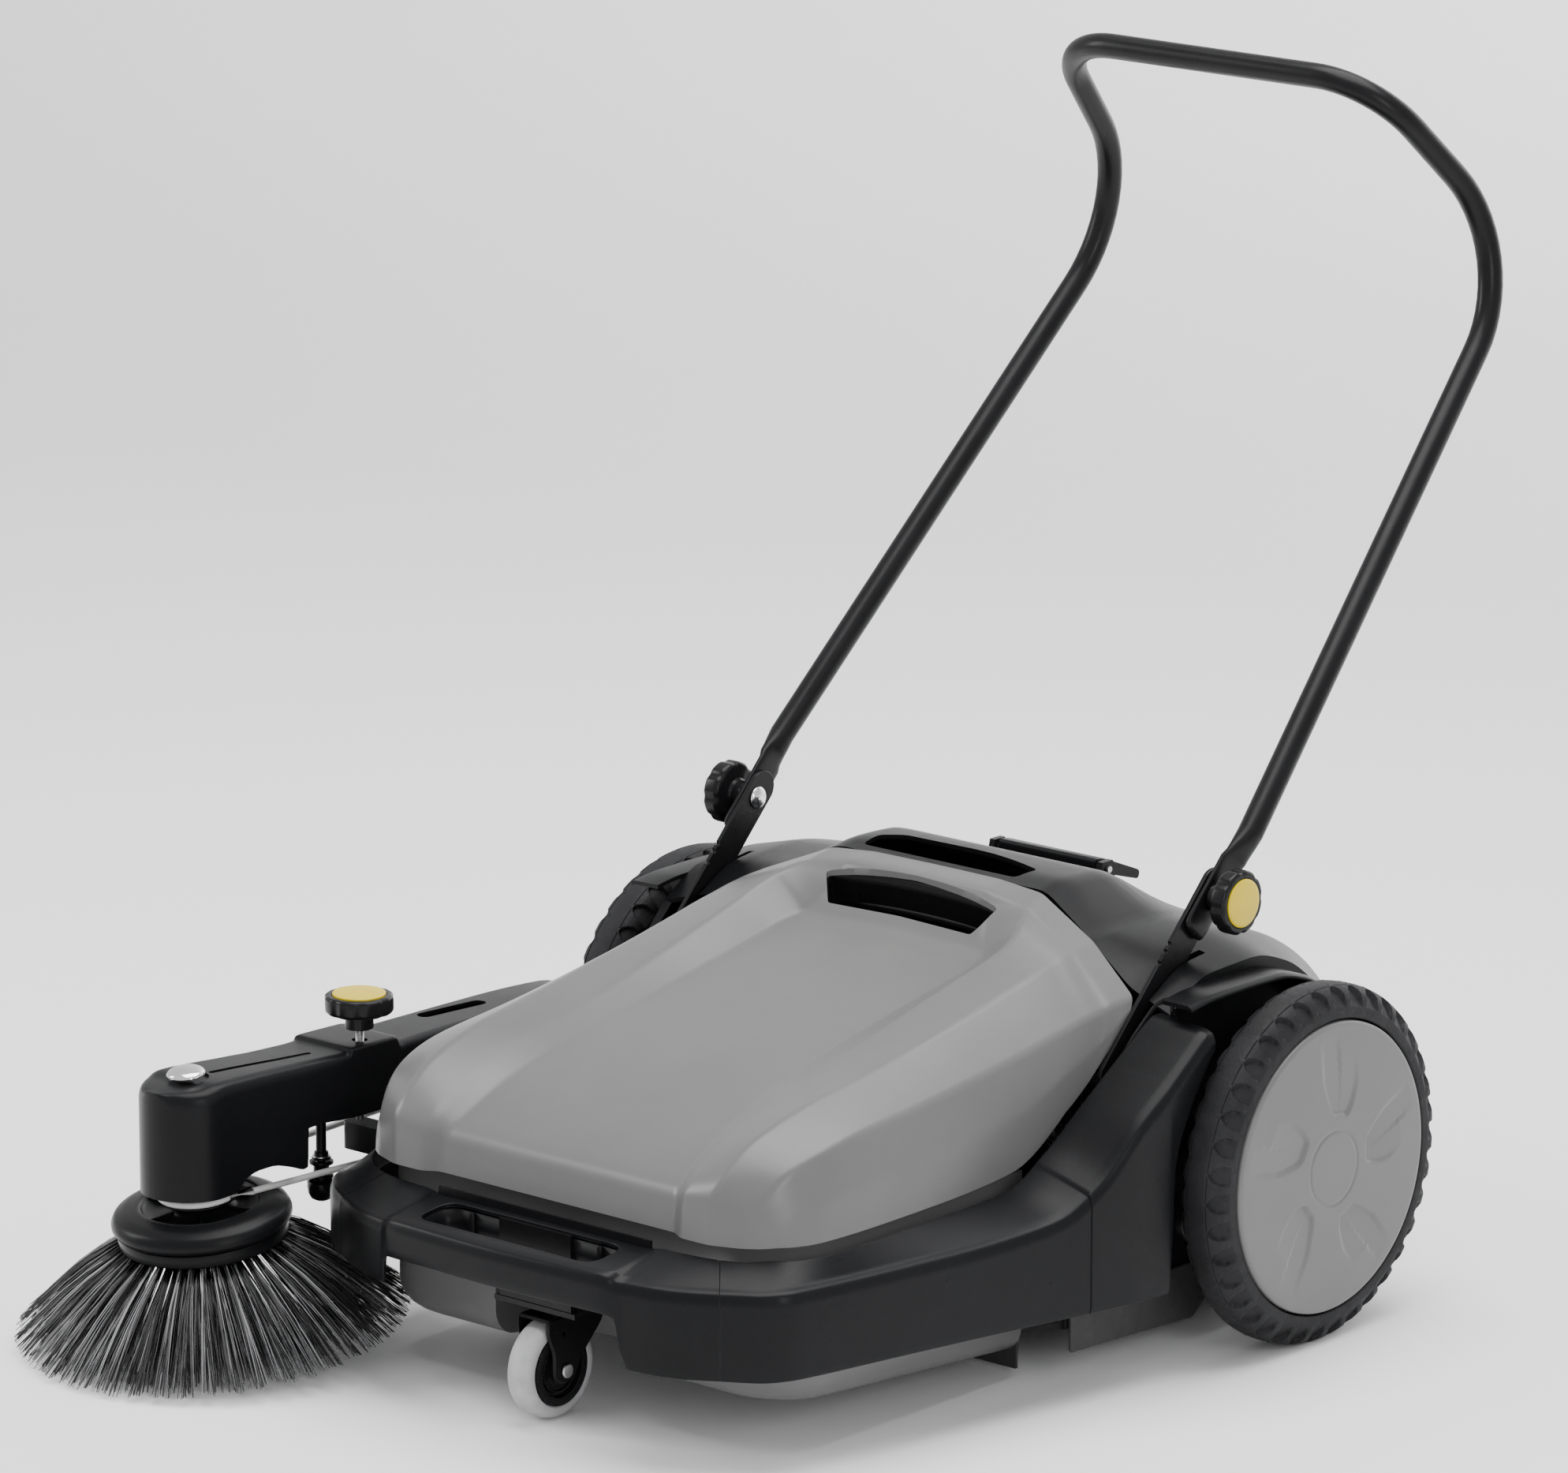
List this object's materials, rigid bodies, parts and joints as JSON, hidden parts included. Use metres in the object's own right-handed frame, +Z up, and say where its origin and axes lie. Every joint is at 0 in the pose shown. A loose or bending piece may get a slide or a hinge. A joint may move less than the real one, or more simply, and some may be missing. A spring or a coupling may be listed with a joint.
{
  "type": "walk-behind sweeper",
  "caption": "Hand-pushed floor sweeper with a gear-driven roller, belt-driven side brush, lift-out dirt hopper, front caster and folding U-shaped push handle.",
  "frame": {"origin": "on the floor, under the middle of the whole machine's bounding box", "axes": "+Z up, +Y towards the operator behind the push handle, +X towards the machine's left side"},
  "size_m": [0.8912, 1.2252, 1.0399],
  "materials": {
    "black_plastic": "moulded black plastic, fine texture with satin edges",
    "grey_plastic": "moulded mid-grey plastic, satin",
    "tyre_rubber": "black moulded tyre tread",
    "seal_rubber": "black sheet rubber",
    "bright_steel": "zinc-plated steel",
    "chrome_steel": "polished chrome plating",
    "yellow_plastic": "bright yellow plastic",
    "black_paint": "black powder coat",
    "bristle": "black plastic filaments in dense rows",
    "white_belt": "white round polyurethane belt",
    "caster_tread": "pale grey non-marking tread"
  },
  "bodies": {
    "chassis": {"front_bumper": "black_plastic", "side_panel_left": "black_plastic", "side_panel_right": "black_plastic", "rear_housing": "black_plastic", "side_skirt_left": "seal_rubber", "side_skirt_right": "seal_rubber", "rear_seal": "seal_rubber", "left_handle_strap": "black_paint", "right_handle_strap": "black_paint", "left_handle_bolt": "chrome_steel", "right_handle_bolt": "chrome_steel", "lever_bracket": "black_plastic", "lever_pin": "bright_steel", "left_axle_stub": "bright_steel", "right_axle_stub": "bright_steel", "left_roller_bush": "bright_steel", "right_roller_bush": "bright_steel", "caster_mount": "black_plastic", "caster_bearing": "bright_steel"},
    "left_wheel": {"left_tyre": "tyre_rubber", "left_wheel_disc": "black_plastic", "left_ring_gear": "black_plastic", "left_wheel_cap": "grey_plastic"},
    "right_wheel": {"right_tyre": "tyre_rubber", "right_wheel_disc": "black_plastic", "right_ring_gear": "black_plastic", "right_wheel_cap": "grey_plastic", "drive_pulley": "black_plastic"},
    "roller": {"roller_shaft": "bright_steel", "roller_core": "black_plastic", "roller_bristles": "bristle", "left_pinion": "black_plastic"},
    "right_pinion_gear": {"right_pinion": "black_plastic"},
    "hopper": {"hopper_lid": "grey_plastic", "hopper_tub": "grey_plastic", "front_flap": "seal_rubber"},
    "handle": {"push_handle": "black_paint"},
    "left_knob": {"left_handle_knob": "black_plastic", "left_knob_cap": "yellow_plastic"},
    "right_knob": {"right_handle_knob": "black_plastic", "right_knob_cap": "yellow_plastic"},
    "brush_adjuster": {"side_brush_knob": "black_plastic", "side_brush_knob_cap": "yellow_plastic", "side_brush_spindle": "bright_steel"},
    "caster_swivel_fork": {"caster_fork": "black_paint", "caster_axle": "bright_steel"},
    "caster_wheel": {"caster_tyre": "caster_tread", "caster_hub": "black_plastic"},
    "side_brush_carrier": {"side_brush_arm": "black_plastic", "arm_dome_cap": "chrome_steel", "brush_bearing": "bright_steel", "idler_pin": "bright_steel", "drive_belt": "white_belt"},
    "belt_idler": {"idler_pulley": "black_plastic"},
    "side_brush": {"brush_bristles": "bristle", "brush_ring": "black_plastic", "brush_head": "black_plastic", "brush_pulley": "black_plastic", "brush_shaft": "bright_steel"},
    "floor_lever": {"height_lever": "black_plastic"}
  },
  "joints": [
    {"name": "left_wheel_spin", "type": "hinge", "parent": "chassis", "child": "left_wheel", "pos_m": [0.4179, 0.1851, 0.157], "axis": [1, 0, 0], "continuous": true},
    {"name": "right_wheel_spin", "type": "hinge", "parent": "chassis", "child": "right_wheel", "pos_m": [-0.2791, 0.1851, 0.157], "axis": [1, 0, 0], "continuous": true},
    {"name": "roller_spin", "type": "hinge", "parent": "chassis", "child": "roller", "pos_m": [0.0694, 0.1101, 0.11], "axis": [1, 0, 0], "continuous": true},
    {"name": "right_pinion_spin", "type": "hinge", "parent": "chassis", "child": "right_pinion_gear", "pos_m": [-0.2616, 0.1101, 0.11], "axis": [1, 0, 0], "continuous": true},
    {"name": "side_brush_lift", "type": "hinge", "parent": "chassis", "child": "side_brush_carrier", "pos_m": [-0.2232, 0.1851, 0.157], "axis": [-1, 0, 0], "range_deg": [0, 0.9]},
    {"name": "side_brush_spin", "type": "hinge", "parent": "side_brush_carrier", "child": "side_brush", "pos_m": [-0.2746, -0.4429, 0.0235], "axis": [0, -0.1253, 0.9921], "continuous": true},
    {"name": "idler_spin", "type": "hinge", "parent": "side_brush_carrier", "child": "belt_idler", "pos_m": [-0.2511, -0.3319, 0.1375], "axis": [0, 0, 1], "continuous": true},
    {"name": "side_brush_knob_turn", "type": "hinge", "parent": "chassis", "child": "brush_adjuster", "pos_m": [-0.2356, -0.2989, 0.259], "axis": [0, 0, 1], "range_deg": [0, 720]},
    {"name": "handle_fold", "type": "hinge", "parent": "chassis", "child": "handle", "pos_m": [0.0694, 0.1607, 0.381], "axis": [-1, 0, 0], "range_deg": [-125, 15]},
    {"name": "left_knob_turn", "type": "hinge", "parent": "chassis", "child": "left_knob", "pos_m": [0.3328, 0.1607, 0.381], "axis": [1, 0, 0], "range_deg": [0, 720]},
    {"name": "right_knob_turn", "type": "hinge", "parent": "chassis", "child": "right_knob", "pos_m": [-0.194, 0.1607, 0.381], "axis": [-1, 0, 0], "range_deg": [0, 720]},
    {"name": "caster_swivel", "type": "hinge", "parent": "chassis", "child": "caster_swivel_fork", "pos_m": [0.0694, -0.3679, 0.0916], "axis": [0, 0, 1], "continuous": true},
    {"name": "caster_spin", "type": "hinge", "parent": "caster_swivel_fork", "child": "caster_wheel", "pos_m": [0.0694, -0.3939, 0.0435], "axis": [1, 0, 0], "continuous": true},
    {"name": "hopper_lift", "type": "slide", "parent": "chassis", "child": "hopper", "axis": [0, 0, 1], "range_m": [0, 0.35]},
    {"name": "height_lever_turn", "type": "hinge", "parent": "chassis", "child": "floor_lever", "pos_m": [0.0694, 0.2631, 0.35], "axis": [1, 0, 0], "range_deg": [0, 25]}
  ],
  "couplings": [
    {"joint": "roller_spin", "follows": "left_wheel_spin", "ratio": 5},
    {"joint": "right_pinion_spin", "follows": "right_wheel_spin", "ratio": 5},
    {"joint": "side_brush_spin", "follows": "right_wheel_spin", "ratio": 1.0588},
    {"joint": "idler_spin", "follows": "right_wheel_spin", "ratio": 3.6},
    {"joint": "side_brush_knob_turn", "follows": "side_brush_lift", "ratio": 800}
  ]
}
